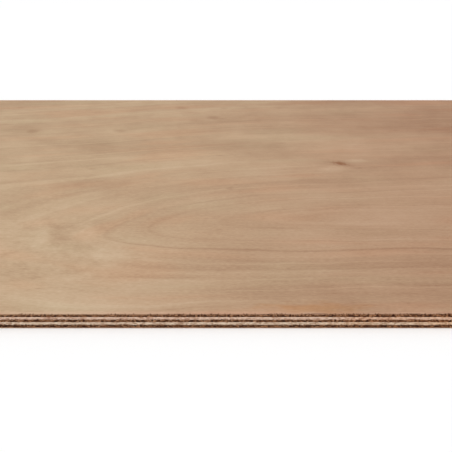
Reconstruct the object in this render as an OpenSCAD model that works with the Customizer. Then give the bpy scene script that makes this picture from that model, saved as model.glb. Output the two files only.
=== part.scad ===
// Seven-ply plywood sheet, lying flat with its face veneer up.
// The origin is the centre of the underside. +X runs along the sheet and the face grain,
// +Y across the sheet, and +Z up through the plies. Millimetres.

/* [Sheet] */
// Length of the sheet, along the face grain
sheet_length = 1220; // [610:10:2440]
// Width of the sheet, across the face grain
sheet_width = 610; // [300:10:1220]

/* [Plies] */
// Thickness of the sanded face veneer
face_veneer_t = 0.8; // [0.5:0.05:1.5]
// Thickness of the sanded back veneer
back_veneer_t = 0.8; // [0.5:0.05:1.5]
// Thickness of each crossband, whose grain runs across the sheet
crossband_t = 1.9; // [1.2:0.05:3.5]
// Thickness of each long core ply, whose grain runs along the sheet
long_core_t = 2.35; // [1.2:0.05:3.5]

/* [Edges] */
// Radius of the sanded arris round the face and round the back
arris_r = 0.3; // [0.1:0.05:0.45]

/* [Hidden] */

// Facets round the full circle that an arris is a quarter of
arris_facets = 48;

// Colours of sawn and sanded veneer
face_colour = "#bb9c7f";
crossband_colour = "#6b452f";
long_core_colour = "#c8a589";

// The underside of each ply: the plies are glued face to face, so each one starts
// where the one below it ends.
lower_crossband_z = back_veneer_t;
lower_long_core_z = lower_crossband_z + crossband_t;
centre_crossband_z = lower_long_core_z + long_core_t;
upper_long_core_z = centre_crossband_z + crossband_t;
upper_crossband_z = upper_long_core_z + long_core_t;
face_veneer_z = upper_crossband_z + crossband_t;

// A core ply: veneer sawn square on all four sides with the rest of the sheet.
module sawn_ply(thickness) {
    translate([-sheet_length / 2, -sheet_width / 2, 0])
        cube([sheet_length, sheet_width, thickness]);
}

// Section through an outer veneer, standing on its glued side, with its two top corners
// rounded by sanding.
module veneer_section(width, thickness) {
    translate([-width / 2, 0])
        square([width, thickness - arris_r]);
    translate([-width / 2 + arris_r, 0])
        square([width - 2 * arris_r, thickness]);
    for (side = [-1, 1])
        translate([side * (width / 2 - arris_r), thickness - arris_r])
            circle(r = arris_r, $fn = arris_facets);
}

// An outer veneer with the arris on all four of its top edges: the section run along the
// sheet, kept where it meets the section run across it, so the arrises mitre at the corners.
module sanded_veneer(thickness) {
    intersection() {
        rotate([90, 0, 90])
            linear_extrude(sheet_length, center = true)
                veneer_section(sheet_width, thickness);
        rotate([90, 0, 0])
            linear_extrude(sheet_width, center = true)
                veneer_section(sheet_length, thickness);
    }
}

module back_veneer() {
    color(face_colour)
        translate([0, 0, back_veneer_t])
            rotate([180, 0, 0])
                sanded_veneer(back_veneer_t);
}

module lower_crossband() {
    color(crossband_colour)
        translate([0, 0, lower_crossband_z])
            sawn_ply(crossband_t);
}

module lower_long_core() {
    color(long_core_colour)
        translate([0, 0, lower_long_core_z])
            sawn_ply(long_core_t);
}

module centre_crossband() {
    color(crossband_colour)
        translate([0, 0, centre_crossband_z])
            sawn_ply(crossband_t);
}

module upper_long_core() {
    color(long_core_colour)
        translate([0, 0, upper_long_core_z])
            sawn_ply(long_core_t);
}

module upper_crossband() {
    color(crossband_colour)
        translate([0, 0, upper_crossband_z])
            sawn_ply(crossband_t);
}

module face_veneer() {
    color(face_colour)
        translate([0, 0, face_veneer_z])
            sanded_veneer(face_veneer_t);
}

back_veneer();
lower_crossband();
lower_long_core();
centre_crossband();
upper_long_core();
upper_crossband();
face_veneer();
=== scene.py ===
"""Looks of a seven-ply plywood sheet with a figured, sanded face and rough sawn edges.

The sheet lies on the floor with its face up. X runs along the face grain, Y across it and
Z up through the plies. Everything is in metres.
"""
import math

import bpy
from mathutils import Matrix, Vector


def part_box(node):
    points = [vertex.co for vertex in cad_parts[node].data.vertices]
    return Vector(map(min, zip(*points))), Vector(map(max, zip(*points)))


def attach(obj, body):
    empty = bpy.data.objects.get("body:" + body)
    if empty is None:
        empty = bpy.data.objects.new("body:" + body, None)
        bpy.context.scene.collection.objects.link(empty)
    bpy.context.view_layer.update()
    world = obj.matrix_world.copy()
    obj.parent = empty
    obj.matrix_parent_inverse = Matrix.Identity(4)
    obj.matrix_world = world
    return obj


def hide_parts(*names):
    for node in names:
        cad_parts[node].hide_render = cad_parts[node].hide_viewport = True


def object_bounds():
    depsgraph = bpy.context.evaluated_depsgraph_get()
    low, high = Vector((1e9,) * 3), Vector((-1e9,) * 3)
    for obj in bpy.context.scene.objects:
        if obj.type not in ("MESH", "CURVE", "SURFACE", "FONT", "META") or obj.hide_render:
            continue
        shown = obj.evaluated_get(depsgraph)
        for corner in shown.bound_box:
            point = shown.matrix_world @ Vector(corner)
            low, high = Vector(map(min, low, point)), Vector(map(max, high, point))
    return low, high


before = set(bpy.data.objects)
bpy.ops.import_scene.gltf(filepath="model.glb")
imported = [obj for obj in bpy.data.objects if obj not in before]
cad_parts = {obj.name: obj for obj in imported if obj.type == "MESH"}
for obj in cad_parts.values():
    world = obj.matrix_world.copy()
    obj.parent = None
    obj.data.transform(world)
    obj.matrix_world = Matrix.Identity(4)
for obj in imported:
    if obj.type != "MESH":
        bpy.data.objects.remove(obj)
cad_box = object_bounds()

# The sheet
MM = 0.001
SHEET_LOW, SHEET_HIGH = cad_box
HALF_LENGTH = SHEET_HIGH.x
HALF_WIDTH = SHEET_HIGH.y
SHEET_T = SHEET_HIGH.z
FRONT_Y = SHEET_LOW.y
PLIES = ("back_veneer", "lower_crossband", "lower_long_core", "centre_crossband",
         "upper_long_core", "upper_crossband", "face_veneer")
FACE, BACK = PLIES[6], PLIES[0]
CROSSBANDS = PLIES[1:6:2]
LONG_CORES = PLIES[2:5:2]

# Modelling sizes
SAW_PITCH = 0.6 * MM
CORE_ROW = 0.4 * MM
VENEER_ROW = 0.25 * MM
WELD = 0.01 * MM
ARRIS_RADIUS = 0.3 * MM
ARRIS_STEPS = 4
LEVEL_RIM = 1.0 * MM
MITRED_RIM = 8.0 * MM
FACE_CELL = 10 * MM
SMOOTH_ANGLE = math.radians(45)

# Depth of the marks that the saw left
GLUE_LINE_REACH = 0.3 * MM
GLUE_LINE_DEPTH = 0.07 * MM
TORN_END_DEPTH = 0.22 * MM
FIBRE_DEPTH = 0.15 * MM
TORN_SIDE_DEPTH = 0.18 * MM
SAW_RIPPLE_DEPTH = 0.03 * MM
SAW_RIPPLE_PITCH = 3.1 * MM
SAW_RIPPLE_SLANT = 0.4
CHIP_DEPTH = 0.45 * MM
SAWN_REACH = ARRIS_RADIUS + 0.05 * MM

# The sliver that has split from the front arris
SLIVER_X = 67.5 * MM
SLIVER_HALF = 6.5 * MM
SLIVER_FULL_SHARE = 0.7
SLIVER_GAP_TOP = SHEET_T - 0.03 * MM
SLIVER_GAP_FOOT = SHEET_T - 0.3 * MM
SLIVER_GAP_DEPTH = 0.4 * MM

# Camera
PICTURE_SIDE = 452
LENS_IN_PIXELS = 898.7
SENSOR = 36.0
CAMERA_REACH = 573.3 * MM
CAMERA_RISE = 304.8 * MM
CAMERA_PITCH = math.radians(22.42)
NEAREST_SEEN = 10 * MM


def colour(red, green, blue):
    """A colour as a screen shows it, 0 to 255, in the linear values that nodes take."""
    def linear(part):
        share = part / 255
        if share <= 0.04045:
            return share / 12.92
        return ((share + 0.055) / 1.055) ** 2.4
    return (linear(red), linear(green), linear(blue), 1.0)


class Layer:
    """A layer of noise: its lumps along and across in millimetres, its seed and its strength."""

    def __init__(self, along, across, seed, strength=1.0, detail=2.0, roughness=0.5):
        self.lump = (along * MM, across * MM, 1.0)
        self.seed = seed
        self.strength = strength
        self.detail = detail
        self.roughness = roughness


class Wiring:
    """Short ways to add and link the nodes of one tree."""

    def __init__(self, tree):
        self.tree = tree

    def put(self, value, socket):
        """Links a socket, or sets it to a constant."""
        if isinstance(value, bpy.types.NodeSocket):
            self.tree.links.new(value, socket)
        else:
            socket.default_value = value

    def node(self, kind, inputs=None, **settings):
        made = self.tree.nodes.new(kind)
        for name, value in settings.items():
            setattr(made, name, value)
        for key, value in (inputs or {}).items():
            self.put(value, made.inputs[key])
        return made

    def math(self, operation, *values):
        made = self.node("ShaderNodeMath", operation=operation)
        for place, value in enumerate(values):
            self.put(value, made.inputs[place])
        return made.outputs[0]

    def add(self, *values):
        total = values[0]
        for value in values[1:]:
            total = self.math("ADD", total, value)
        return total

    def sub(self, first, second):
        return self.math("SUBTRACT", first, second)

    def mul(self, *values):
        product = values[0]
        for value in values[1:]:
            product = self.math("MULTIPLY", product, value)
        return product

    def div(self, first, second):
        return self.math("DIVIDE", first, second)

    def vector(self, x, y, z):
        return self.node("ShaderNodeCombineXYZ", {0: x, 1: y, 2: z}).outputs[0]

    def length(self, vector):
        return self.node("ShaderNodeVectorMath", {0: vector}, operation="LENGTH").outputs["Value"]

    def split(self, vector):
        return self.node("ShaderNodeSeparateXYZ", {0: vector}).outputs

    def by_parts(self, operation, first, second):
        """Two vectors, added, subtracted, multiplied or divided part by part."""
        return self.node("ShaderNodeVectorMath", {0: first, 1: second}, operation=operation).outputs[0]

    def noise_node(self, vector, layer, seed=0.0):
        """The noise node of a layer. The seed is added to the layer's own."""
        scaled = self.by_parts("DIVIDE", vector, layer.lump)
        moved = self.by_parts("ADD", scaled, (layer.seed + seed,) * 3)
        return self.node("ShaderNodeTexNoise", {
            "Vector": moved, "Scale": 1.0, "Detail": layer.detail, "Roughness": layer.roughness})

    def noise(self, vector, layer, seed=0.0):
        """A layer's noise from 0 to 1, whatever its strength."""
        return self.noise_node(vector, layer, seed).outputs[0]

    def swing(self, vector, layer, seed=0.0):
        """A layer's noise about zero, mostly within half its strength each way."""
        return self.mul(self.sub(self.noise(vector, layer, seed), 0.5), 2.0 * layer.strength)

    def cells(self, vector, size, seed=0.0):
        """A pattern of uneven cells of the given size, in the plane of the vector's X and Y."""
        moved = self.by_parts("ADD", self.by_parts("DIVIDE", vector, size), (seed, seed, 0.0))
        return self.node("ShaderNodeTexVoronoi", {"Vector": moved, "Scale": 1.0},
                         voronoi_dimensions="2D")

    def fray(self, vector, layer):
        """The vector, pushed about along X and Y by a layer of noise, mostly by less than its strength."""
        push = self.noise_node(vector, layer).outputs["Color"]
        about = self.by_parts("SUBTRACT", push, (0.5, 0.5, 0.5))
        most = 4 * layer.strength
        return self.by_parts("ADD", vector, self.by_parts("MULTIPLY", about, (most, most, 0.0)))

    def chance(self, cells):
        """An even random number from 0 to 1 for each cell."""
        return self.split(cells.outputs["Color"])[0]

    def rise(self, value, low, high):
        """0 below low, 1 above high, and smooth between. low may be above high."""
        made = self.node("ShaderNodeMapRange", {0: value, 1: low, 2: high},
                         interpolation_type="SMOOTHSTEP")
        return made.outputs[0]

    def fade(self, factor, first, second):
        """A number that goes from first to second with the factor."""
        made = self.node("ShaderNodeMix", {0: factor, 2: first, 3: second}, data_type="FLOAT")
        return made.outputs[0]

    def tint(self, factor, first, second, way="MIX"):
        """A colour that goes from first to second with the factor."""
        made = self.node("ShaderNodeMix", {0: factor, 6: first, 7: second},
                         data_type="RGBA", blend_type=way)
        return made.outputs[2]

    def ramp(self, value, stops):
        """A colour from a list of (place, colour) stops."""
        made = self.node("ShaderNodeValToRGB", {0: value})
        elements = made.color_ramp.elements
        while len(elements) < len(stops):
            elements.new(0.5)
        for element, (place, shade) in zip(elements, stops):
            element.position = place
            element.color = shade
        return made.outputs[0]


# Modelling

def start_piece():
    """Leaves edit mode with nothing selected."""
    if bpy.context.object and bpy.context.object.mode != "OBJECT":
        bpy.ops.object.mode_set(mode="OBJECT")
    bpy.ops.object.select_all(action="DESELECT")


def apply_place():
    bpy.ops.object.transform_apply(location=True, rotation=True, scale=True)


def add_sawn_wall(middle, turn, length, height):
    """One upright side of a core ply, as a fine grid that faces outwards."""
    bpy.ops.mesh.primitive_grid_add(
        x_subdivisions=round(length / SAW_PITCH), y_subdivisions=round(height / CORE_ROW), size=1,
        location=middle, rotation=(math.pi / 2, 0, turn))
    wall = bpy.context.active_object
    wall.scale = (length, height, 1)
    apply_place()
    return wall


def select_open_rims():
    """Selects the open edges of the mesh in edit mode."""
    bpy.ops.mesh.select_mode(type="EDGE")
    bpy.ops.mesh.select_all(action="DESELECT")
    bpy.ops.mesh.select_non_manifold(use_wire=False, use_boundary=True, use_multi_face=False,
                                     use_non_contiguous=False, use_verts=False)


def close_shell():
    """Welds the open shell in hand, draws each open rim in to a point and turns faces outwards."""
    bpy.ops.object.mode_set(mode="EDIT")
    bpy.ops.mesh.select_all(action="SELECT")
    bpy.ops.mesh.remove_doubles(threshold=WELD)
    select_open_rims()
    bpy.ops.mesh.extrude_edges_move()
    bpy.ops.transform.resize(value=(0, 0, 1), center_override=(0, 0, 0))
    bpy.ops.mesh.remove_doubles(threshold=WELD)
    bpy.ops.mesh.select_all(action="SELECT")
    bpy.ops.mesh.normals_make_consistent(inside=False)
    bpy.ops.object.mode_set(mode="OBJECT")


def build_core_ply(node):
    """A ply sawn square: four upright walls, welded and capped."""
    low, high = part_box(node)
    middle_z = (low.z + high.z) / 2
    height = high.z - low.z
    start_piece()
    walls = [
        add_sawn_wall((0, low.y, middle_z), 0, high.x - low.x, height),
        add_sawn_wall((high.x, 0, middle_z), math.pi / 2, high.y - low.y, height),
        add_sawn_wall((0, high.y, middle_z), math.pi, high.x - low.x, height),
        add_sawn_wall((low.x, 0, middle_z), -math.pi / 2, high.y - low.y, height),
    ]
    for wall in walls:
        wall.select_set(True)
    bpy.ops.object.join()
    close_shell()
    piece = bpy.context.active_object
    piece.name = node + "_wood"
    return piece


def veneer_profile(thickness):
    """Steps of (outset, drop) from the level face round the arris and down the sawn side."""
    steps = [(LEVEL_RIM, 0.0)]
    for step in range(ARRIS_STEPS):
        start = step / ARRIS_STEPS * math.pi / 2
        end = (step + 1) / ARRIS_STEPS * math.pi / 2
        steps.append((ARRIS_RADIUS * (math.sin(end) - math.sin(start)),
                      ARRIS_RADIUS * (math.cos(start) - math.cos(end))))
    side = thickness - ARRIS_RADIUS
    rows = round(side / VENEER_ROW)
    steps += [(0.0, side / rows)] * rows
    return steps


class Skirt:
    """Pulls the open rim of a level rectangle outwards and down, step by step."""

    def __init__(self, half_x, half_y, face_z, up):
        self.half_x = half_x
        self.half_y = half_y
        self.face_z = face_z
        self.up = up

    def pull(self, outset, drop):
        bpy.ops.mesh.extrude_edges_move(TRANSFORM_OT_translate={"value": (0, 0, -self.up * drop)})
        wider = (self.half_x + outset) / self.half_x
        deeper = (self.half_y + outset) / self.half_y
        bpy.ops.transform.resize(value=(wider, deeper, 1), center_override=(0, 0, self.face_z))
        self.half_x += outset
        self.half_y += outset


def build_veneer(node, up):
    """An outer veneer: a level face whose rim is mitred, refined and pulled round the arris."""
    low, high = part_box(node)
    face_z = high.z if up > 0 else low.z
    rim = ARRIS_RADIUS + LEVEL_RIM + MITRED_RIM
    level_length = high.x - low.x - 2 * rim
    level_width = high.y - low.y - 2 * rim
    start_piece()
    bpy.ops.mesh.primitive_grid_add(
        x_subdivisions=round(level_length / FACE_CELL), y_subdivisions=round(level_width / FACE_CELL),
        size=1, location=(0, 0, face_z))
    bpy.context.active_object.scale = (level_length, level_width, 1)
    apply_place()
    bpy.ops.object.mode_set(mode="EDIT")
    select_open_rims()
    skirt = Skirt(level_length / 2, level_width / 2, face_z, up)
    skirt.pull(MITRED_RIM, 0.0)
    select_open_rims()
    bpy.ops.mesh.subdivide(number_cuts=round(FACE_CELL / SAW_PITCH) - 1)
    select_open_rims()
    for outset, drop in veneer_profile(high.z - low.z):
        skirt.pull(outset, drop)
    bpy.ops.object.mode_set(mode="OBJECT")
    close_shell()
    piece = bpy.context.active_object
    piece.name = node + "_wood"
    return piece


# Saw marks

TEAR_TUFTS = Layer(1.2, 1000, 7.0, detail=1.0)
TEAR_STRETCHES = Layer(14, 1000, 13.0, 0.3)
TEAR_APART = 10.0
TEAR_FROM, TEAR_FULL = 0.44, 0.64

# How much more than its left half the right half of each ply's edge is torn, from the back up
TEAR_DRIFT = (0.06, -0.06, 0.0, -0.06, 0.0, 0.08, 0.08)
TEAR_DRIFT_REACH = 250 * MM

# Bundles of fibres that the saw cut across and along
END_GRAIN_SIZE = (0.7 * MM, 0.85 * MM, 1.0)
SIDE_GRAIN_SIZE = (1.5 * MM, 0.5 * MM, 1.0)
GRAIN_FRAY = Layer(0.5, 0.7, 0.0, 0.4 * MM, detail=3.0, roughness=0.6)
END_PITS = Layer(1.0, 1.0, 3.0)
END_FURROWS = Layer(0.7, 2.5, 11.0, detail=1.0)
SIDE_TEARS = Layer(16, 0.6, 5.0)
SPIKE_RAGGEDNESS = 0.3
SPIKE_SEED = 4.0
SPIKE_RIM = (0.05, -0.15)

# Levels of noise at which a pit or a tear starts and is full
PIT_LEVELS = (0.5, 0.72)
TEAR_LEVELS = (0.55, 0.72)


def beyond(w, x, y):
    """How far a place lies past the sheet's ends and past its sides, below zero inside."""
    past_end = w.sub(w.math("ABSOLUTE", x), HALF_LENGTH)
    past_side = w.sub(w.math("ABSOLUTE", y), HALF_WIDTH)
    return past_end, past_side


def saw_run(w, along):
    """0 well to the left of the middle of an edge, 1 well to the right, and smooth between."""
    return w.rise(along, -TEAR_DRIFT_REACH, TEAR_DRIFT_REACH)


def sliver_span(w, along):
    """1 along the sliver and 0 past its ends."""
    from_middle = w.math("ABSOLUTE", w.sub(along, SLIVER_X))
    return w.rise(from_middle, SLIVER_HALF, SLIVER_FULL_SHARE * SLIVER_HALF)


def tear_stretch(w, along, ply):
    """How far the saw tore a ply upwards along an edge, 0 to 1: by short tufts and long stretches."""
    line = w.vector(along, TEAR_APART * ply, 0.0)
    drift = w.fade(saw_run(w, along), -TEAR_DRIFT[ply], TEAR_DRIFT[ply])
    tear = w.add(w.noise(line, TEAR_TUFTS), w.swing(line, TEAR_STRETCHES), drift)
    return w.mul(w.rise(tear, TEAR_FROM, TEAR_FULL), w.sub(1.0, sliver_span(w, along)))


def grains(w, place, size, seed):
    """A number about zero for each frayed bundle of fibres that the saw cut."""
    return w.sub(w.chance(w.cells(w.fray(place, GRAIN_FRAY), size, seed)), 0.5)


def torn_veneer(w, node, along, z):
    """1 where the saw tore the side of an outer veneer, in spikes that start from its glue line."""
    low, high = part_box(node)
    from_glue = w.sub(z, low.z) if node == FACE else w.sub(high.z, z)
    height = w.div(from_glue, high.z - low.z)
    ragged = w.mul(grains(w, w.vector(along, z, 0.0), END_GRAIN_SIZE, SPIKE_SEED), SPIKE_RAGGEDNESS)
    torn = tear_stretch(w, along, PLIES.index("upper_crossband" if node == FACE else BACK))
    return w.rise(w.sub(w.add(height, ragged), torn), *SPIKE_RIM)


def sliver_gap(w, x, y, z):
    """1 in the gap over the sliver, at the front arris."""
    middle = (SLIVER_GAP_TOP + SLIVER_GAP_FOOT) / 2
    high = w.mul(w.rise(z, SLIVER_GAP_FOOT, middle), w.rise(z, SHEET_T, SLIVER_GAP_TOP))
    return w.mul(sliver_span(w, x), high, w.math("LESS_THAN", y, 0.0))


def new_tree(name):
    """A geometry tree with one mesh in and one out, its wiring, and the mesh that comes in."""
    tree = bpy.data.node_groups.new(name, "GeometryNodeTree")
    for way in ("INPUT", "OUTPUT"):
        tree.interface.new_socket("Geometry", in_out=way, socket_type="NodeSocketGeometry")
    w = Wiring(tree)
    return tree, w, w.node("NodeGroupInput").outputs[0]


def apply_tree(piece, tree, w, result):
    """Ends a geometry tree with its result, and makes that the mesh of a piece."""
    w.node("NodeGroupOutput", {0: result})
    modifier = piece.modifiers.new(tree.name, "NODES")
    modifier.node_group = tree
    start_piece()
    piece.select_set(True)
    bpy.context.view_layer.objects.active = piece
    bpy.ops.object.modifier_apply(modifier=modifier.name)


def end_grain_depth(w, along, z):
    """How deep the saw tore the cut ends of the fibres."""
    place = w.vector(along, z, 0.0)
    pits = w.rise(w.noise(place, END_PITS), *PIT_LEVELS)
    furrows = w.noise(place, END_FURROWS)
    return w.add(w.mul(pits, TORN_END_DEPTH), w.mul(furrows, FIBRE_DEPTH))


def side_grain_depth(w, along, z):
    """Long shallow tears along the fibres and the ripple of the saw."""
    place = w.vector(along, z, 0.0)
    torn = w.rise(w.noise(place, SIDE_TEARS), *TEAR_LEVELS)
    turn = w.div(w.add(along, w.mul(z, SAW_RIPPLE_SLANT)), SAW_RIPPLE_PITCH / (2 * math.pi))
    ripple = w.add(w.mul(w.math("SINE", turn), 0.5), 0.5)
    return w.add(w.mul(torn, TORN_SIDE_DEPTH), w.mul(ripple, SAW_RIPPLE_DEPTH))


def saw_edges(piece, node, grain_along):
    """Roughens the four sawn sides of a ply inwards, by the way the grain meets each."""
    low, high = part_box(node)
    tree, w, start = new_tree("saw_" + node)
    x, y, z = w.split(w.node("GeometryNodeInputPosition").outputs[0])
    past_end, past_side = beyond(w, x, y)
    on_side = w.math("GREATER_THAN", past_side, -SAWN_REACH)
    on_end = w.math("GREATER_THAN", past_end, -SAWN_REACH)
    side_mark = side_grain_depth if grain_along else end_grain_depth
    end_mark = end_grain_depth if grain_along else side_grain_depth
    to_glue_line = w.math("MINIMUM", w.sub(z, low.z), w.sub(high.z, z))
    glue_line = w.mul(w.rise(to_glue_line, GLUE_LINE_REACH, 0.0), GLUE_LINE_DEPTH)
    in_y = w.add(side_mark(w, x, z), glue_line)
    in_x = w.add(end_mark(w, y, z), glue_line)
    if node in (FACE, BACK):
        chips = w.mul(torn_veneer(w, node, x, z), CHIP_DEPTH)
        in_y = w.add(in_y, chips, w.mul(sliver_gap(w, x, y, z), SLIVER_GAP_DEPTH))
    in_y = w.mul(on_side, in_y)
    in_x = w.mul(on_end, in_x)
    offset = w.vector(w.mul(w.math("SIGN", x), in_x, -1.0),
                      w.mul(w.math("SIGN", y), in_y, -1.0), 0.0)
    moved = w.node("GeometryNodeSetPosition", {"Geometry": start, "Offset": offset})
    apply_tree(piece, tree, w, moved.outputs[0])


# Torn fibres

BLADE_WIDTH = 1.0 * MM
BLADE_LENGTH = 1.0 * MM
BLADE_FLATNESS = 0.6
BLADE_ROOT_DEPTH = 0.35 * MM
CORNER_GAP = 1.2 * MM
BLADE_SCATTER = 0.4
TALLEST_BLADE = 0.95

# Each step up a blade: its rise, how far it curls out, and what it keeps of the width below
BLADE_STEPS = (
    (0.5 * BLADE_LENGTH, 0.375 * MM, 0.7),
    (0.5 * BLADE_LENGTH, 0.125 * MM, 0.57),
)


class Fringe:
    """How torn wood stands along an edge: spacing in metres, the rest in shares of one blade."""

    def __init__(self, spacing, width, length, sunk, lean):
        self.spacing = spacing
        self.width = width
        self.length = length
        self.sunk = sunk
        self.lean = lean


TUFTS = Fringe(0.95 * MM, (0.6, 1.4), (0.6, 1.1), (0.2, 0.5), 0.3)
FIBRES = Fringe(0.7 * MM, (0.2, 0.45), (0.5, 1.15), (0.1, 0.9), 0.6)


def model_blade():
    """One torn fibre: a three-sided blade, widest at its root, that curls out at its tip."""
    start_piece()
    bpy.ops.mesh.primitive_circle_add(vertices=3, radius=BLADE_WIDTH / 2, fill_type="NOTHING")
    blade = bpy.context.active_object
    bpy.ops.object.mode_set(mode="EDIT")
    bpy.ops.mesh.select_mode(type="EDGE")
    bpy.ops.mesh.select_all(action="SELECT")
    bpy.ops.transform.resize(value=(1, BLADE_FLATNESS, 1), center_override=(0, 0, 0))
    height, curled = 0.0, 0.0
    for rise, curl, narrowing in BLADE_STEPS:
        bpy.ops.mesh.extrude_edges_move(TRANSFORM_OT_translate={"value": (0, -curl, rise)})
        height += rise
        curled += curl
        bpy.ops.transform.resize(value=(narrowing, narrowing, 1), center_override=(0, -curled, height))
    bpy.ops.mesh.edge_face_add()
    bpy.ops.mesh.select_all(action="SELECT")
    bpy.ops.mesh.normals_make_consistent(inside=False)
    bpy.ops.object.mode_set(mode="OBJECT")
    blade.name = "blade"
    return blade


def edge_fringe(w, blade, fringe, edge, reach, ply, seed):
    """Torn blades along one sawn edge, each with its own height, width and lean, up to a reach."""
    start, direction, length, turn = edge
    count = round(length / fringe.spacing)
    step = tuple(part * fringe.spacing for part in direction)
    line = w.node("GeometryNodeMeshLine", {"Count": count, "Start Location": start, "Offset": step})

    def scatter(low, high, number):
        return w.node("FunctionNodeRandomValue", {2: low, 3: high, "Seed": seed + number}).outputs[1]

    spot = w.split(w.node("GeometryNodeInputPosition").outputs[0])
    torn = tear_stretch(w, spot[0] if direction[0] else spot[1], ply)
    tall = w.mul(scatter(*fringe.length, 0), torn, reach)
    sunk = w.mul(scatter(*fringe.sunk, 1), -BLADE_LENGTH)
    aside = w.mul(scatter(-BLADE_SCATTER, BLADE_SCATTER, 4), fringe.spacing)
    shift = w.vector(w.mul(aside, direction[0]), w.mul(aside, direction[1]), sunk)
    placed = w.node("GeometryNodeSetPosition", {"Geometry": line.outputs[0], "Offset": shift})
    lean = scatter(-fringe.lean, fringe.lean, 2)
    turned = w.node("FunctionNodeEulerToRotation", {0: w.vector(0.0, lean, turn)})
    shape = w.node("GeometryNodeObjectInfo", {"Object": blade}).outputs["Geometry"]
    size = w.vector(scatter(*fringe.width, 3), 1.0, w.add(tall, w.mul(sunk, -1 / BLADE_LENGTH)))
    stood = w.node("GeometryNodeInstanceOnPoints", {
        "Points": placed.outputs[0], "Instance": shape, "Rotation": turned.outputs[0], "Scale": size})
    return w.node("GeometryNodeRealizeInstances", {0: stood.outputs[0]}).outputs[0]


def torn_edges(node, grain_along):
    """The two top edges where the saw crossed the grain: start, direction, length and turn."""
    low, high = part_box(node)
    if grain_along:
        left = low.x + BLADE_ROOT_DEPTH
        right = high.x - BLADE_ROOT_DEPTH
        length = high.y - low.y - 2 * CORNER_GAP
        return [((left, high.y - CORNER_GAP, high.z), (0, -1, 0), length, -math.pi / 2),
                ((right, low.y + CORNER_GAP, high.z), (0, 1, 0), length, math.pi / 2)]
    front = low.y + BLADE_ROOT_DEPTH
    rear = high.y - BLADE_ROOT_DEPTH
    length = high.x - low.x - 2 * CORNER_GAP
    return [((low.x + CORNER_GAP, front, high.z), (1, 0, 0), length, 0.0),
            ((high.x - CORNER_GAP, rear, high.z), (-1, 0, 0), length, math.pi)]


def tear_fibres(piece, node, blade, grain_along, seed):
    """Stands tufts and loose fibres along the sides where the saw crossed the grain."""
    tree, w, start = new_tree("fibres_" + node)
    joined = w.node("GeometryNodeJoinGeometry")
    w.put(start, joined.inputs[0])
    room = (SHEET_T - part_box(node)[1].z) / BLADE_LENGTH
    reach = min(TALLEST_BLADE, room)
    ply = PLIES.index(node)
    for edge in torn_edges(node, grain_along):
        for fringe in (TUFTS, FIBRES):
            seed += 10
            w.put(edge_fringe(w, blade, fringe, edge, reach, ply, seed), joined.inputs[0])
    apply_tree(piece, tree, w, joined.outputs[0])


# Flat map

# Tiles of the map for the side of a ply that faces up and the one that faces down: the left
# and lower edge, width and height of each, in shares of the map
CORE_TILES = ((0.004, 0.004, 0.492, 0.11), (0.504, 0.004, 0.492, 0.11))
SHOWN_TILE = (0.004, 0.004, 0.992, 0.79)
GLUED_TILE = (0.004, 0.804, 0.992, 0.025)
VENEER_TILES = {FACE: (SHOWN_TILE, GLUED_TILE), BACK: (GLUED_TILE, SHOWN_TILE)}
CORE_ROWS_FOOT = 0.12
VENEER_ROWS_FOOT = 0.835

# Rows of the map that one end of the sheet is cut into. A long side has twice as many.
CORE_END_ROWS = 5
VENEER_END_ROWS = 2
ROW_END_INSET = 0.012
ROW_SIDE_INSET = 0.12
FIBRE_RISE = 1.2 * MM

# How far in from the sheet's sides a row reaches, and how deep the saw marks in its wall are at most
RIM_DEPTH = 2.0 * MM
DEEPEST_MARK = 0.75 * MM
VENEER_RISE = ARRIS_RADIUS + LEVEL_RIM - DEEPEST_MARK


def from_rim(w, spot):
    """How far a place lies inside the nearest of the sheet's four sides."""
    return w.mul(w.math("MAXIMUM", *beyond(w, spot[0], spot[1])), -1.0)


def on_tiles(w, spot, is_up, tiles):
    """Where the level sides of a ply lie on the map."""
    (up_left, up_foot, up_wide, up_tall), (down_left, down_foot, down_wide, down_tall) = tiles
    across = w.div(w.add(spot[0], HALF_LENGTH), 2 * HALF_LENGTH)
    deep = w.div(w.add(spot[1], HALF_WIDTH), 2 * HALF_WIDTH)
    up_u = w.add(w.mul(across, up_wide), up_left)
    down_u = w.add(w.mul(w.sub(1.0, across), down_wide), down_left)
    up_v = w.add(w.mul(deep, up_tall), up_foot)
    down_v = w.add(w.mul(deep, down_tall), down_foot)
    return w.fade(is_up, down_u, up_u), w.fade(is_up, down_v, up_v)


def in_rows(w, spot, face, height, foot, end_rows):
    """Where the sawn rim of a ply lies on the map: cut into rows, front, back, left and right."""
    past_end, past_side = beyond(w, face[0], face[1])
    on_side = w.math("GREATER_THAN", past_side, past_end)
    half = w.fade(on_side, HALF_WIDTH, HALF_LENGTH)
    rows = w.fade(on_side, end_rows, 2 * end_rows)

    def rows_along(place):
        along = w.fade(on_side, place[1], place[0])
        return w.mul(w.div(w.add(along, half), w.mul(half, 2.0)), rows)

    row = w.math("FLOOR", rows_along(face))
    at_back = w.math("GREATER_THAN", face[1], 0.0)
    at_right = w.math("GREATER_THAN", face[0], 0.0)
    first = w.fade(on_side, w.fade(at_right, 4 * end_rows, 5 * end_rows),
                   w.fade(at_back, 0.0, 2 * end_rows))
    share = w.sub(rows_along(spot), row)
    turned = w.fade(on_side, w.sub(1.0, at_right), at_back)
    share = w.fade(turned, share, w.sub(1.0, share))
    u = w.add(w.mul(share, 1 - 2 * ROW_END_INSET), ROW_END_INSET)
    level = w.add(first, row, w.mul(height, 1 - 2 * ROW_SIDE_INSET), ROW_SIDE_INSET)
    v = w.add(w.mul(level, (1 - foot) / (6 * end_rows)), foot)
    return u, v


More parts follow.
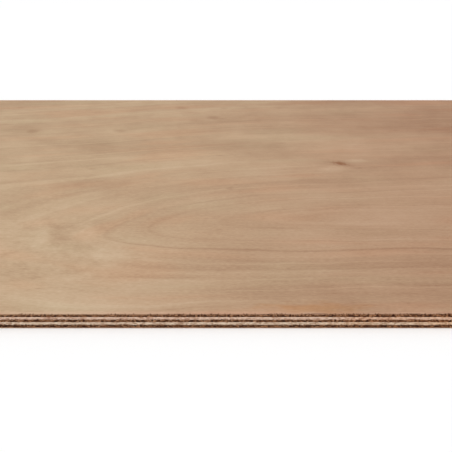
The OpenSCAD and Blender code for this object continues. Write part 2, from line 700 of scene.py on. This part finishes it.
def lay_flat(piece, node, tiles, foot, end_rows, rise):
    """Gives a ply its flat map: the level sides on two tiles, and the sawn rim in rows over them."""
    low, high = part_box(node)
    tree, w, start = new_tree("flat_" + node)
    place = w.node("GeometryNodeInputPosition").outputs[0]
    middle = w.node("GeometryNodeFieldOnDomain", data_type="FLOAT_VECTOR", domain="FACE")
    w.put(place, middle.inputs[0])
    spot = w.split(place)
    face = w.split(middle.outputs[0])
    is_level = w.math("GREATER_THAN", from_rim(w, face), RIM_DEPTH)
    is_up = w.math("GREATER_THAN", face[2], (low.z + high.z) / 2)
    up = w.sub(high.z, spot[2]) if node == BACK else w.sub(spot[2], low.z)
    over = w.math("MAXIMUM", w.sub(from_rim(w, spot), DEEPEST_MARK), 0.0)
    height = w.div(w.add(up, over), high.z - low.z + rise)
    tile_u, tile_v = on_tiles(w, spot, is_up, tiles)
    row_u, row_v = in_rows(w, spot, face, height, foot, end_rows)
    flat = w.vector(w.fade(is_level, row_u, tile_u), w.fade(is_level, row_v, tile_v), 0.0)
    kept = w.node("GeometryNodeStoreNamedAttribute", {
        "Geometry": start, "Name": "OFBake", "Value": flat},
        data_type="FLOAT2", domain="CORNER")
    apply_tree(piece, tree, w, kept.outputs[0])


# Materials

def new_material(name):
    """A material with its node tree, its shader and its object coordinates."""
    material = bpy.data.materials.new(name)
    material.use_nodes = True
    w = Wiring(material.node_tree)
    shader = material.node_tree.nodes["Principled BSDF"]
    place = w.node("ShaderNodeTexCoord").outputs["Object"]
    return material, w, shader, place


def give_bump(w, shader, height, distance, strength):
    bump = w.node("ShaderNodeBump", {"Height": height, "Distance": distance, "Strength": strength})
    w.put(bump.outputs[0], shader.inputs["Normal"])


# The flame in the face figure: its rings open towards +X
RING_WIDTH = 26 * MM
RING_PHASE = 0.37
RING_CROWD = 0.7
RING_CROWD_AT = 3.35
FLAME_AXIS_Y = FRONT_Y + 180 * MM
FLAME_FALL = 50 * MM
FLAME_UPPER_FALL = 30 * MM
FLAME_UPPER_REACH = 150 * MM
FLAME_FALL_X = -100 * MM
FLAME_FALL_BLEND = 50 * MM
FLAME_TIP_X = -121 * MM
FLAME_TIP_BLEND = 60 * MM
FLAME_TIP_RINGS = 8.0
FLAME_TIP_SHARE = 0.55
FLAME_UPPER_SHARE = 0.12
FLAME_LOWER_SHARE = 0.35
FLAME_UPPER_TILT = 0.08

# Between which rings from the axis the flame gets less pointed, above and below it
FLAME_UPPER_RINGS = (0.5, 7.0)
FLAME_LOWER_RINGS = (-2.0, -6.5)
FIGURE_HALF = (420 * MM, 420 * MM, 1.0)
RING_BEND = Layer(300, 140, 21.0, 14 * MM, detail=0.0)
RING_WAVER = Layer(70, 30, 4.0, 6 * MM)

# Rings that swing about freely: a little in the figure, and more far from it
WILD_RINGS = Layer(480, 130, 8.0, detail=0.0)
WILD_NEAR, WILD_FAR = 0.3, 4.0
WILD_FROM, WILD_FULL = 0.8, 1.6

# The dark late-wood line of a ring: where in the ring it starts and ends, and where it is lost
LATE_WOOD_START = (0.7, 0.94)
LATE_WOOD_END = (1.0, 0.92)
LATE_WOOD_TONE = -0.12
LINE_PATCHES = Layer(110, 20, 31.0, detail=3.0)
LINE_LEVELS = (0.36, 0.68)
PATCHY_LINE = 0.75

# Rings whose lines are bold under the flame's axis: number, reach either way and strength
BOLD_RINGS = ((3.0, (0.9, 0.3), 1.0), (4.2, (0.7, 0.2), 0.7))
BOLD_LINE_DROP = 40 * MM

PALE_LINES = Layer(400, 6, 37.0, detail=1.0)
PALE_LINE_LEVELS = (0.58, 0.72)
PALE_LINE_TONE = 0.06

# Where the lines start, to the right or to the rear
LINED_X = (-230 * MM, -60 * MM)
LINED_Y = (FRONT_Y + 120 * MM, FRONT_Y + 180 * MM)

# The grain gets weaker towards the rear, down to a share, and the wood darker
EVEN_Y = (FRONT_Y + 100 * MM, FRONT_Y + 420 * MM)
REAR_GRAIN = 0.4
REAR_Y = (FRONT_Y + 250 * MM, FRONT_Y + 520 * MM)
REAR_TONE = -0.07

# Where the figure breaks up into mottle, just past the tip of the flame
MOTTLE_MIDDLE = (-175 * MM, FRONT_Y + 112 * MM)
MOTTLE_HALF = (105 * MM, 85 * MM)
MOTTLE_RIM = (1.15, 0.5)
MOTTLE = Layer(17, 15, 43.0, detail=5.0, roughness=0.6)
MOTTLE_ELSEWHERE, MOTTLE_FULL = 0.05, 0.2
MOTTLED_FIGURE = 0.25

# Layers that follow the rings, from broad to fine
BANDS = Layer(420, 40, 14.0, 0.075, detail=1.0)
STREAKS = Layer(240, 10, 17.0, 0.065)
THREADS = Layer(80, 2.8, 23.0, 0.04)

# Layers that run straight along the sheet, from broad to fine
CLOUDS = Layer(100, 80, 27.0, 0.12, detail=1.0)
BLOTCHES = Layer(32, 30, 35.0, 0.1, detail=1.0)
RIPPLE = Layer(12, 5, 33.0, 0.035, detail=1.0)
FACE_FIBRES = Layer(30, 0.9, 19.0, 0.1)
PORES = Layer(4, 1.1, 29.0, 0.15)
FLECK_CELL = (70 * MM, 26 * MM, 1.0)
FLECK_CHANCE = (0.75, 1.0)
FLECK_RADIUS = 0.09
FLECK_TONE = -0.12

# The pin knot
KNOT_X = 122 * MM
KNOT_Y = FRONT_Y + 341 * MM
KNOT_HALF = (8.5 * MM, 6.0 * MM)
KNOT_TILT = 0.35
KNOT_FRAY = Layer(4, 3, 9.0, 0.9, detail=3.0)
KNOT_HALO_RIM = (2.3, 0.7)
KNOT_HALO_STRENGTH = 0.22
KNOT_CORE_RIM = (1.3, 0.1)
KNOT_CORE_STRENGTH = 0.72

# How far the rings part round the knot, in rings, and how far from it, in knots
KNOT_RINGS = 0.35
KNOT_REACH = 4.0

# Darker and paler places in the figure, the first four round the knot: how far right of the
# middle and behind the front edge, half length and half width, in millimetres, and tone
FIGURE_PATCHES = (
    (114, 323, 20, 12, 0.11),
    (143, 350, 14, 7, 0.12),
    (137, 329, 12, 6, -0.035),
    (109, 346, 12, 5, -0.02),
    (-60, 405, 130, 45, -0.09),
    (-150, 258, 130, 50, -0.08),
    (0, 178, 75, 35, -0.07),
    (131, 184, 45, 30, 0.09),
    (-110, 35, 110, 34, 0.11),
    (50, 32, 80, 30, -0.06),
    (170, 32, 50, 30, -0.06),
    (270, 500, 70, 90, -0.08),
    (-57, 570, 10, 9, -0.09),
    (-16, 523, 10, 10, -0.09),
    (-126, 464, 9, 8, -0.1),
    (-231, 462, 9, 10, -0.1),
    (4, 263, 5, 5, -0.1),
    (-122, 150, 15, 22, 0.09),
    (-98, 98, 20, 24, 0.06),
    (-160, 138, 9, 30, 0.06),
    (-55, 61, 62, 5, -0.055),
)

# Where a soft or a frayed oval place starts and is full, in shares of its half size
SOFT_RIM = (1.2, 0.2)
FRAYED_RIM = (1.2, 0.3)

# The broad, mottled ring that slants past the tip of the flame. Its middle and half are (Y, X).
TIP_BAND_MIDDLE = (FRONT_Y + 121 * MM, -131 * MM)
TIP_BAND_HALF = (80 * MM, 17 * MM)
TIP_BAND_SLANT = 0.38
TIP_BAND_FRAY = Layer(14, 12, 47.0, 0.9, detail=3.0)
TIP_BAND_TONE = -0.06

FACE_SHADES = (
    (0.0, colour(116, 78, 50)),
    (0.3, colour(162, 127, 99)),
    (0.5, colour(185, 153, 123)),
    (0.7, colour(200, 171, 142)),
    (1.0, colour(220, 196, 168)),
)
# Dark torn wood, which is also the colour of the painted shade on the veneers' sawn sides
TORN_AND_SHADE_COLOUR = colour(104, 66, 42)
# The painted shadow in the gap over the sliver
GAP_SHADOW_COLOUR = colour(96, 62, 38)
KNOT_SHADE = colour(122, 68, 27)
# Paler at the left and darker, rosier at the right: partly the wood's own tone and partly painted light
# that falls off from left to right
PALE_AND_LIT_TINT = (1.08, 1.15, 1.15, 1.0)
ROSY_AND_SHADED_TINT = (0.88, 0.81, 0.79, 1.0)
PINK_TINT = (1.03, 0.97, 0.95, 1.0)
OLIVE_TINT = (0.985, 1.015, 1.01, 1.0)
STAIN_TINT = (0.97, 0.86, 0.72, 1.0)
RIM_TINT = (1.13, 1.08, 1.14, 1.0)
STAIN_MIDDLE = (66 * MM, FRONT_Y + 9 * MM)
STAIN_HALF = (42 * MM, 10 * MM)
STAIN_CLOUDS = Layer(16, 7, 61.0, 0.8)
BLUSH_PATCHES = Layer(110, 55, 51.0, detail=1.0)
BLUSH_STREAKS = Layer(300, 16, 53.0, 0.7)
BLUSH_FULL = 0.5
PALE_X = -230 * MM
ROSY_X = 270 * MM
DRIFT_REACH = 420 * MM
DRIFT_SLANT = 0.2
DRIFT_PIVOT = 200 * MM
DRIFT_WANDER = Layer(260, 160, 6.0, 90 * MM, detail=1.0)
FACE_FIGURE_SHIFT = (0.0, 0.0, 0.0)
BACK_FIGURE_SHIFT = (0.33, 0.21, 0.0)
RAGGED_REACH = 1.1 * MM
# How much darker the sawn side of each veneer is: partly its duller sawn wood, partly painted shade
DULL_AND_SHADED_SAWN_SIDE = {FACE: 0.28, BACK: 0.0}
TORN_STRENGTH = {FACE: 0.85, BACK: 0.45}
GAP_SHADOW_STRENGTH = 0.8
SAWN_TOP = SHEET_T - 0.1 * MM
SAWN_FOOT = SHEET_T - 0.35 * MM
RIM_REACH = 6 * MM
RIM_FULL = 1 * MM
WOOD_SHINE = 0.15
FACE_ROUGHNESS = (0.72, 0.58)
FACE_BUMP = (0.3 * MM, 0.3)
MIDDLE_TONE = 0.5


def step_down(w, x, middle, blend):
    """1 well to the left of middle, 0 well to the right, and smooth between."""
    return w.div(1.0, w.add(1.0, w.math("EXPONENT", w.div(w.sub(x, middle), blend))))


def ring_count(w, x, y, place):
    """How many growth rings the knife has passed, as a smooth field over the face."""
    tip = w.mul(step_down(w, x, FLAME_TIP_X, FLAME_TIP_BLEND), FLAME_TIP_RINGS)
    upper = w.rise(y, FLAME_AXIS_Y, FLAME_AXIS_Y + FLAME_UPPER_REACH)
    fallen = step_down(w, x, FLAME_FALL_X, FLAME_FALL_BLEND)
    fall = w.mul(fallen, w.fade(upper, FLAME_FALL, FLAME_UPPER_FALL))
    tilt = w.mul(x, upper, -FLAME_UPPER_TILT)
    bend = w.swing(place, RING_BEND)
    waver = w.swing(place, RING_WAVER)
    across = w.div(w.add(w.sub(y, FLAME_AXIS_Y), fall, tilt, bend, waver), RING_WIDTH)
    flank = w.math("SQRT", w.add(w.mul(across, across), 1.0))
    above = w.rise(across, *FLAME_UPPER_RINGS)
    below = w.rise(across, *FLAME_LOWER_RINGS)
    share = w.fade(above, FLAME_TIP_SHARE, FLAME_TIP_SHARE * FLAME_UPPER_SHARE)
    share = w.mul(share, w.fade(below, 1.0, FLAME_LOWER_SHARE))
    flame = w.add(flank, w.mul(tip, share))
    far = w.rise(w.length(w.by_parts("DIVIDE", place, FIGURE_HALF)), WILD_FROM, WILD_FULL)
    wild = w.mul(w.swing(place, WILD_RINGS), w.fade(far, WILD_NEAR, WILD_FAR))
    return w.add(flame, wild)


def oval(w, x, y, middle, half, tilt=0.0):
    """0 in the middle of an oval spot and 1 at its rim."""
    along = w.sub(x, middle[0])
    across = w.add(w.sub(y, middle[1]), w.mul(along, tilt))
    return w.length(w.vector(w.div(along, half[0]), w.div(across, half[1]), 0.0))


def tip_band(w, x, y, place):
    """1 along the broad ring past the tip of the flame, with frayed sides."""
    from_middle = oval(w, y, x, TIP_BAND_MIDDLE, TIP_BAND_HALF, TIP_BAND_SLANT)
    return w.rise(w.add(from_middle, w.swing(place, TIP_BAND_FRAY)), *FRAYED_RIM)


def fleck_mask(w, place):
    """Small dark flecks, few and far between, drawn out along the grain."""
    cells = w.cells(place, FLECK_CELL)
    chosen = w.rise(w.chance(cells), *FLECK_CHANCE)
    return w.mul(chosen, w.rise(cells.outputs["Distance"], FLECK_RADIUS, 0.0))


def ring_lines(w, y, rings, flow):
    """Thin dark late-wood lines, strong in places and lost in others."""
    off = w.sub(rings, RING_CROWD_AT)
    crowd = w.mul(w.math("EXPONENT", w.mul(off, off, -1.0)), RING_CROWD)
    ring = w.math("FRACT", w.add(rings, crowd, RING_PHASE))
    late = w.mul(w.rise(ring, *LATE_WOOD_START), w.rise(ring, *LATE_WOOD_END))
    patchy = w.mul(w.rise(w.noise(flow, LINE_PATCHES), *LINE_LEVELS), PATCHY_LINE)
    bold = 0.0
    for number, reach, strength in BOLD_RINGS:
        near = w.rise(w.math("ABSOLUTE", w.sub(rings, number)), *reach)
        bold = w.add(bold, w.mul(near, strength))
    below = w.rise(y, FLAME_AXIS_Y, FLAME_AXIS_Y - BOLD_LINE_DROP)
    return w.mul(late, w.math("MAXIMUM", patchy, w.mul(bold, below)))


def tint_by(w, shade, factor, tint):
    return w.tint(factor, shade, w.tint(1.0, shade, tint, "MULTIPLY"))


def face_tints(w, shade, x, y, place, flow):
    """Pink and olive mottle, the slow change from pale to darker rosy wood, partly wood and partly painted
    light that falls off from left to right, and stains by the edge.
    """
    blush = w.add(w.swing(place, BLUSH_PATCHES), w.swing(flow, BLUSH_STREAKS))
    shade = tint_by(w, shade, w.rise(blush, 0.0, BLUSH_FULL), PINK_TINT)
    shade = tint_by(w, shade, w.rise(blush, 0.0, -BLUSH_FULL), OLIVE_TINT)
    slant = w.mul(w.sub(y, FRONT_Y + DRIFT_PIVOT), -DRIFT_SLANT)
    drawn = w.add(x, slant, w.swing(place, DRIFT_WANDER))
    paler = w.rise(w.math("ABSOLUTE", w.sub(drawn, PALE_X)), DRIFT_REACH, 0.0)
    rosier = w.rise(w.math("ABSOLUTE", w.sub(drawn, ROSY_X)), DRIFT_REACH, 0.0)
    # Partly wood tone and partly painted light: paler at the left, darker and rosier at the right
    shade = tint_by(w, shade, paler, PALE_AND_LIT_TINT)
    shade = tint_by(w, shade, rosier, ROSY_AND_SHADED_TINT)
    from_stain = w.add(oval(w, x, y, STAIN_MIDDLE, STAIN_HALF), w.swing(place, STAIN_CLOUDS))
    shade = tint_by(w, shade, w.rise(from_stain, *FRAYED_RIM), STAIN_TINT)
    _, past_side = beyond(w, x, y)
    return tint_by(w, shade, w.rise(past_side, -RIM_REACH, -RIM_FULL), RIM_TINT)


def ragged_side(w, node, shade, spot):
    """The sawn sides of an outer veneer: a little dull and darker, partly painted shade, with dark torn
    patches by the glue line and a painted shadow in the gap over the sliver.
    """
    x, y, z = spot
    past_end, past_side = beyond(w, x, y)
    on_rim = w.math("GREATER_THAN", w.math("MAXIMUM", past_end, past_side), -RAGGED_REACH)
    along = w.fade(w.math("GREATER_THAN", past_side, past_end), y, x)
    # Partly painted shade: the sawn side below the arris is darkened, partly for its duller sawn wood
    sawn = w.mul(w.rise(z, SAWN_TOP, SAWN_FOOT), on_rim, DULL_AND_SHADED_SAWN_SIDE[node])
    shade = w.tint(sawn, shade, TORN_AND_SHADE_COLOUR)
    torn = w.mul(torn_veneer(w, node, along, z), on_rim, TORN_STRENGTH[node])
    shade = w.tint(torn, shade, TORN_AND_SHADE_COLOUR)
    # Painted shadow in the gap over the sliver at the front arris
    return w.tint(w.mul(sliver_gap(w, x, y, z), on_rim, GAP_SHADOW_STRENGTH), shade, GAP_SHADOW_COLOUR)


def ring_tone(w, y, rings, flow, lined, even):
    """Dark late-wood lines, and paler lines between them."""
    late = w.mul(ring_lines(w, y, rings, flow), lined, w.math("SQRT", even), LATE_WOOD_TONE)
    pale = w.mul(w.rise(w.noise(flow, PALE_LINES), *PALE_LINE_LEVELS), lined, PALE_LINE_TONE)
    return w.add(late, pale)


def broad_tone(w, x, y, place, mottled, even):
    """The clouds, blotches, mottle and patches that don't follow the rings."""
    clouds = w.add(w.swing(place, CLOUDS), w.swing(place, RIPPLE))
    blotches = w.mul(w.swing(place, BLOTCHES), w.sub(1.0, even))
    mottle = w.mul(w.swing(place, MOTTLE), w.fade(mottled, MOTTLE_ELSEWHERE, MOTTLE_FULL))
    rear = w.mul(w.rise(y, *REAR_Y), REAR_TONE)
    tip = w.mul(tip_band(w, x, y, place), TIP_BAND_TONE)
    tone = w.add(clouds, blotches, mottle, rear, tip)
    for right, back, half_length, half_width, change in FIGURE_PATCHES:
        middle = (right * MM, FRONT_Y + back * MM)
        patch = oval(w, x, y, middle, (half_length * MM, half_width * MM))
        tone = w.add(tone, w.mul(w.rise(patch, *SOFT_RIM), change))
    return tone


def fine_grain(w, place, flow, calm, even):
    """Threads, fibres, pores and flecks: the grain that is felt as well as seen."""
    threads = w.mul(w.swing(flow, THREADS), calm)
    fibres = w.mul(w.swing(place, FACE_FIBRES), even)
    pores = w.mul(w.swing(place, PORES), even)
    flecks = w.mul(fleck_mask(w, place), FLECK_TONE)
    return w.add(threads, fibres, pores, flecks)


def add_knot(w, shade, knot, place):
    """The pin knot: a dark frayed core in a faint halo."""
    frayed = w.add(knot, w.swing(place, KNOT_FRAY))
    shade = w.tint(w.mul(w.rise(frayed, *KNOT_HALO_RIM), KNOT_HALO_STRENGTH), shade, KNOT_SHADE)
    return w.tint(w.mul(w.rise(frayed, *KNOT_CORE_RIM), KNOT_CORE_STRENGTH), shade, KNOT_SHADE)


def face_wood(node, shift):
    """Sanded rotary-cut veneer: a flame of rings, straight fibres, mottle and a pin knot."""
    material, w, shader, own_place = new_material(node)
    place = w.by_parts("ADD", own_place, shift)
    x, y, _ = w.split(place)
    knot = oval(w, x, y, (KNOT_X, KNOT_Y), KNOT_HALF, KNOT_TILT)
    rings = w.add(ring_count(w, x, y, place), w.mul(w.rise(knot, KNOT_REACH, 0.0), KNOT_RINGS))
    flow = w.vector(x, w.mul(rings, RING_WIDTH), 0.0)
    mottled = w.rise(oval(w, x, y, MOTTLE_MIDDLE, MOTTLE_HALF), *MOTTLE_RIM)
    figured = w.fade(mottled, 1.0, MOTTLED_FIGURE)
    lined = w.mul(figured, w.math("MAXIMUM", w.rise(x, *LINED_X), w.rise(y, *LINED_Y)))
    even = w.fade(w.rise(y, *EVEN_Y), 1.0, REAR_GRAIN)
    calm = w.mul(figured, even)
    grain = fine_grain(w, place, flow, calm, even)
    streaks = w.add(w.swing(flow, BANDS), w.mul(w.swing(flow, STREAKS), calm))
    tone = w.add(MIDDLE_TONE, ring_tone(w, y, rings, flow, lined, even), streaks, grain,
                 broad_tone(w, x, y, place, mottled, even))
    shade = face_tints(w, w.ramp(tone, FACE_SHADES), x, y, place, flow)
    shade = add_knot(w, shade, knot, place)
    shade = ragged_side(w, node, shade, w.split(own_place))
    w.put(shade, shader.inputs["Base Color"])
    shader.inputs["Specular IOR Level"].default_value = WOOD_SHINE
    w.put(w.fade(tone, *FACE_ROUGHNESS), shader.inputs["Roughness"])
    give_bump(w, shader, grain, *FACE_BUMP)
    return material


# Layers of the cut fibre ends
END_MOTTLE = Layer(3.2, 1.8, 0.0, 0.2, detail=4.0, roughness=0.6)
END_FIBRES = Layer(0.25, 0.5, 1.0, 0.9, detail=3.0, roughness=0.6)
END_SPECKS = 1.8
END_SPECK_SEED = 5.0
END_GLUE_SHADOW_TONE = -0.12

# Shares of a ply's height: where its glue shadow ends, and where its fuzzy top starts and ends
GLUE_SHADOW = 0.45
FUZZ_START = (0.7, 1.0)
FUZZ_END = (1.08, 1.02)

# Layers of the fibres sawn along their length
SIDE_STREAKS = Layer(22, 0.5, 0.0, 0.5)
SIDE_PATCHES = Layer(6, 2.5, 3.0, 0.6, detail=3.0)
SIDE_SHADOWS = Layer(70, 4, 8.0, 0.3, detail=1.0)
SIDE_SPECKS = 0.95
SIDE_SPECK_SEED = 6.0
SIDE_TOP = (0.4, 0.95)
SIDE_TOP_TONE = 0.12
SIDE_SEED = 9.0

# Torn fibres of the ply below, over the foot of the sides, and the painted shadow that they cast there
RAGGED_FOOT = Layer(0.9, 0.8, 2.0, 0.3)
FOOT_FIBRES_AND_SHADOW = 0.2
FOOT_FIBRES_AND_SHADOW_RIM = (0.05, -0.08)

# The plies are ruddier to the right of these places along an edge
RUDDY_X = (40 * MM, 190 * MM)
RUDDY_WANDER = Layer(40, 6, 12.0, 120 * MM)
CORE_GRAIN = Layer(0.5, 0.4, 7.0)
CORE_BUMP = (0.2 * MM, 0.5)
CORE_ROUGHNESS = 0.85

END_GRAIN_SCALE = 0.7
END_GRAIN_SHADES = (
    (0.0, colour(46, 19, 6)),
    (0.35, colour(102, 62, 36)),
    (0.7, colour(160, 112, 78)),
    (1.0, colour(200, 157, 124)),
)


def side_shades(dark, middle, light):
    return ((0.1, dark), (0.5, middle), (0.9, light))


SIDE_GRAIN_SHADES = {
    "upper_long_core": side_shades(colour(166, 122, 98), colour(209, 172, 148), colour(229, 200, 178)),
    "lower_long_core": side_shades(colour(166, 132, 108), colour(208, 180, 155), colour(231, 210, 186)),
}
CROSSBAND_SIDE_SHADES = side_shades(colour(160, 122, 96), colour(200, 164, 136), colour(220, 190, 164))

# How far up each ply its dark glue line starts, as a share of the ply's height
GLUE_BLEND = 0.04
GLUE_FOOT = {node: 0.97 for node in PLIES}
GLUE_FOOT["upper_long_core"] = 0.93

# How much paler the loose fibres at the top of each ply's end grain are, at its left and right
FUZZY_TOP = {
    "lower_crossband": (0.0, 0.0),
    "lower_long_core": (0.2, 0.2),
    "centre_crossband": (0.24, 0.24),
    "upper_long_core": (0.2, 0.2),
    "upper_crossband": (1.9, 0.75),
}

# How much paler or darker than the rest each ply is
PLY_TONE = dict(zip(PLIES, (0.0, -0.18, 0.0, -0.07, 0.06, -0.17, 0.0)))
RUDDY_TINT = (1.04, 0.9, 0.78, 1.0)
# Darkens the torn foot and its painted shadow, and the glue line at the top
TORN_SHADOW_AND_GLUE_TINT = (0.42, 0.3, 0.22, 1.0)


def end_grain_tone(w, along, z, height, fuzz, seed):
    """Cut fibre ends: dark pits and lighter tufts, and painted shade that is darkest down by the glue
    line.
    """
    place = w.vector(along, z, 0.0)
    mottle = w.swing(place, END_MOTTLE, seed)
    specks = w.mul(grains(w, place, END_GRAIN_SIZE, seed + END_SPECK_SEED), END_SPECKS)
    fibres = w.swing(place, END_FIBRES, seed)
    fuzzy_top = w.mul(w.rise(height, *FUZZ_START), w.rise(height, *FUZZ_END), fuzz)
    # Painted shade, darkest at the glue line at the foot of the ply
    glue = w.mul(w.rise(height, GLUE_SHADOW, 0.0), END_GLUE_SHADOW_TONE)
    return w.add(MIDDLE_TONE, mottle, specks, fibres, fuzzy_top, glue)


def side_grain_tone(w, along, z, height, seed):
    """Fibres sawn along their length: pale streaks and patches, palest at the top."""
    place = w.vector(along, z, 0.0)
    streaks = w.swing(place, SIDE_STREAKS, seed)
    patches = w.swing(place, SIDE_PATCHES, seed)
    shadows = w.swing(place, SIDE_SHADOWS, seed)
    specks = w.mul(grains(w, place, SIDE_GRAIN_SIZE, seed + SIDE_SPECK_SEED), SIDE_SPECKS)
    pale_top = w.mul(w.rise(height, *SIDE_TOP), SIDE_TOP_TONE)
    return w.add(MIDDLE_TONE, streaks, patches, shadows, specks, pale_top)


def core_wood(node, grain_along, side_stops, seed):
    """A core ply: dark where the saw crossed the fibres, pale where it ran along them."""
    low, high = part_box(node)
    material, w, shader, place = new_material(node)
    x, y, z = w.split(place)
    past_end, past_side = beyond(w, x, y)
    on_side = w.math("GREATER_THAN", past_side, past_end)
    along = w.fade(on_side, y, x)
    edge = w.vector(along, z, 0.0)
    is_side_grain = on_side if grain_along else w.sub(1.0, on_side)
    height = w.div(w.sub(z, low.z), high.z - low.z)
    fuzzy = w.fade(saw_run(w, along), *FUZZY_TOP[node])
    end_tone = w.add(end_grain_tone(w, along, z, height, fuzzy, seed), PLY_TONE[node])
    side_tone = w.add(side_grain_tone(w, along, z, height, seed + SIDE_SEED), PLY_TONE[node])
    ends = w.ramp(w.mul(end_tone, END_GRAIN_SCALE), END_GRAIN_SHADES)
    sides = w.ramp(side_tone, side_stops)
    reach = w.mul(tear_stretch(w, along, PLIES.index(node) - 1), FOOT_FIBRES_AND_SHADOW)
    ragged = w.swing(edge, RAGGED_FOOT, seed)
    # Dark torn fibres of the ply below and their painted shadow, over the foot of the pale sides
    fuzz = w.rise(w.sub(w.add(height, ragged), reach), *FOOT_FIBRES_AND_SHADOW_RIM)
    glue = w.rise(height, GLUE_FOOT[node], GLUE_FOOT[node] + GLUE_BLEND)
    sides = tint_by(w, sides, w.math("MAXIMUM", fuzz, glue), TORN_SHADOW_AND_GLUE_TINT)
    shade = w.tint(is_side_grain, ends, sides)
    ruddy = w.rise(w.add(along, w.swing(edge, RUDDY_WANDER)), *RUDDY_X)
    w.put(tint_by(w, shade, ruddy, RUDDY_TINT), shader.inputs["Base Color"])
    shader.inputs["Specular IOR Level"].default_value = WOOD_SHINE
    shader.inputs["Roughness"].default_value = CORE_ROUGHNESS
    give_bump(w, shader, w.noise(edge, CORE_GRAIN, seed), *CORE_BUMP)
    return material


def dress(piece, node, material):
    """Gives a piece its shading, material and body, and hides the part that it stands for."""
    start_piece()
    piece.select_set(True)
    bpy.context.view_layer.objects.active = piece
    bpy.ops.object.shade_smooth_by_angle(angle=SMOOTH_ANGLE)
    piece.data.materials.clear()
    piece.data.materials.append(material)
    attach(piece, "root")
    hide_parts(node)


# Stage

FLOOR_SIDE = 80
FLOOR_TONE = 0.75
FLOOR_ROUGHNESS = 0.9
WORLD_STRENGTH = 0.5
SUN_PLACE = (-0.5, -1.0, 1.9)
SUN_ANGLE = math.radians(50)
SUN_STRENGTH = 1.85


def seen_ray(w):
    """1 for a ray that shows the background itself, 0 for one that only carries light."""
    paths = w.node("ShaderNodeLightPath")
    seen = w.math("MAXIMUM", paths.outputs["Is Camera Ray"], paths.outputs["Is Glossy Ray"])
    return w.math("MAXIMUM", seen, paths.outputs["Is Transmission Ray"])


def build_floor():
    start_piece()
    bpy.ops.mesh.primitive_plane_add(size=FLOOR_SIDE, location=(0, 0, 0))
    floor = bpy.context.active_object
    floor.name = "floor"
    material, w, shader, _ = new_material("floor_paint")
    white = w.fade(seen_ray(w), FLOOR_TONE, 1.0)
    w.put(w.vector(white, white, white), shader.inputs["Base Color"])
    shader.inputs["Roughness"].default_value = FLOOR_ROUGHNESS
    shader.inputs["Specular IOR Level"].default_value = 0.0
    floor.data.materials.append(material)


def build_light():
    world = bpy.data.worlds.new("studio")
    bpy.context.scene.world = world
    world.use_nodes = True
    w = Wiring(world.node_tree)
    background = world.node_tree.nodes["Background"]
    background.inputs["Color"].default_value = (1.0, 1.0, 1.0, 1.0)
    w.put(w.fade(seen_ray(w), WORLD_STRENGTH, 1.0), background.inputs["Strength"])
    bpy.ops.object.light_add(type="SUN", location=SUN_PLACE)
    key = bpy.context.active_object
    key.data.angle = SUN_ANGLE
    key.data.energy = SUN_STRENGTH
    aim_at(key, (0, 0, 0))


def aim_at(thing, target):
    """Turns a lamp towards a point."""
    away = thing.location - type(thing.location)(target)
    thing.rotation_mode = "QUATERNION"
    thing.rotation_quaternion = away.to_track_quat("Z", "Y")


def build_camera():
    data = bpy.data.cameras.new("camera")
    camera = bpy.data.objects.new("camera", data)
    bpy.context.scene.collection.objects.link(camera)
    data.sensor_width = SENSOR
    data.lens = LENS_IN_PIXELS * SENSOR / PICTURE_SIDE
    data.clip_start = NEAREST_SEEN
    camera.location = (0, FRONT_Y - CAMERA_REACH, SHEET_T + CAMERA_RISE)
    camera.rotation_euler = (math.pi / 2 - CAMERA_PITCH, 0, 0)
    bpy.context.scene.camera = camera


# The sheet, ply by ply

# Seeds of the first ply of each kind: of its torn fibres and of its wood
CROSSBAND_SEEDS = (100, 40.0)
LONG_CORE_SEEDS = (500, 60.0)


def make_core_ply(node, blade, grain_along, side_stops, fibre_seed, wood_seed):
    """One core ply, from its sawn sides to its wood."""
    ply = build_core_ply(node)
    saw_edges(ply, node, grain_along)
    tear_fibres(ply, node, blade, grain_along, fibre_seed)
    lay_flat(ply, node, CORE_TILES, CORE_ROWS_FOOT, CORE_END_ROWS, FIBRE_RISE)
    dress(ply, node, core_wood(node, grain_along, side_stops, wood_seed))


def make_veneer(node, up, shift):
    """One outer veneer, from its sawn sides to its wood."""
    veneer = build_veneer(node, up)
    saw_edges(veneer, node, grain_along=True)
    lay_flat(veneer, node, VENEER_TILES[node], VENEER_ROWS_FOOT, VENEER_END_ROWS, VENEER_RISE)
    dress(veneer, node, face_wood(node, shift))


build_camera()
build_light()
build_floor()

blade = model_blade()
for place, node in enumerate(CROSSBANDS):
    make_core_ply(node, blade, False, CROSSBAND_SIDE_SHADES,
                  CROSSBAND_SEEDS[0] * (place + 1), CROSSBAND_SEEDS[1] + place)
for place, node in enumerate(LONG_CORES):
    make_core_ply(node, blade, True, SIDE_GRAIN_SHADES[node],
                  LONG_CORE_SEEDS[0] * (place + 1), LONG_CORE_SEEDS[1] + place)
bpy.data.objects.remove(blade)
make_veneer(FACE, 1, FACE_FIGURE_SHIFT)
make_veneer(BACK, -1, BACK_FIGURE_SHIFT)

bpy.context.scene.view_settings.view_transform = "Standard"
